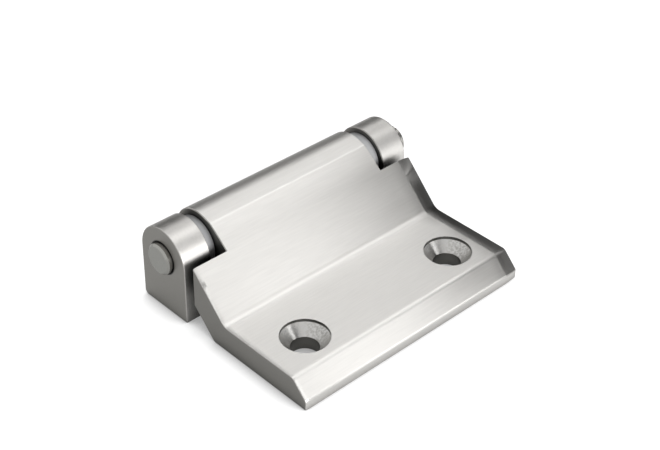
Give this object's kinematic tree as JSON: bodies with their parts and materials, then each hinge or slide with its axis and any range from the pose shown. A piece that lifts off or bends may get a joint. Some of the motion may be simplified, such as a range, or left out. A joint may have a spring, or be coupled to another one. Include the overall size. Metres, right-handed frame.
{
  "type": "lift off hinge",
  "caption": "Cast stainless hinge whose cranked door leaf turns on a plain pin between the ears of a frame block, and lifts off once the pin is drawn.",
  "frame": {"origin": "on the mounting plane, straight under the pin axis at the middle of the frame block's length", "axes": "+X along the pin to its longer end, -Y to the free edge of the leaf, +Z out of the mounting plane"},
  "size_m": [0.0788, 0.0572, 0.0232],
  "materials": {
    "block_steel": "cast stainless steel, fine satin grind",
    "leaf_steel": "cast stainless steel, long brushed grain along the pin",
    "pin_steel": "turned and ground stainless steel",
    "washer_plastic": "moulded acetal, pale cool grey"
  },
  "bodies": {
    "frame": {"frame_block": "block_steel", "left_washer": "washer_plastic", "right_washer": "washer_plastic"},
    "leaf": {"door_leaf": "leaf_steel"},
    "pin": {"hinge_pin": "pin_steel"}
  },
  "joints": [
    {"name": "leaf_swing", "type": "hinge", "parent": "frame", "child": "leaf", "pos_m": [0, 0, 0.015], "axis": [-1, 0, 0], "range_deg": [0, 180]},
    {"name": "pin_draw", "type": "slide", "parent": "frame", "child": "pin", "axis": [1, 0, 0], "range_m": [0, 0.0665]}
  ]
}
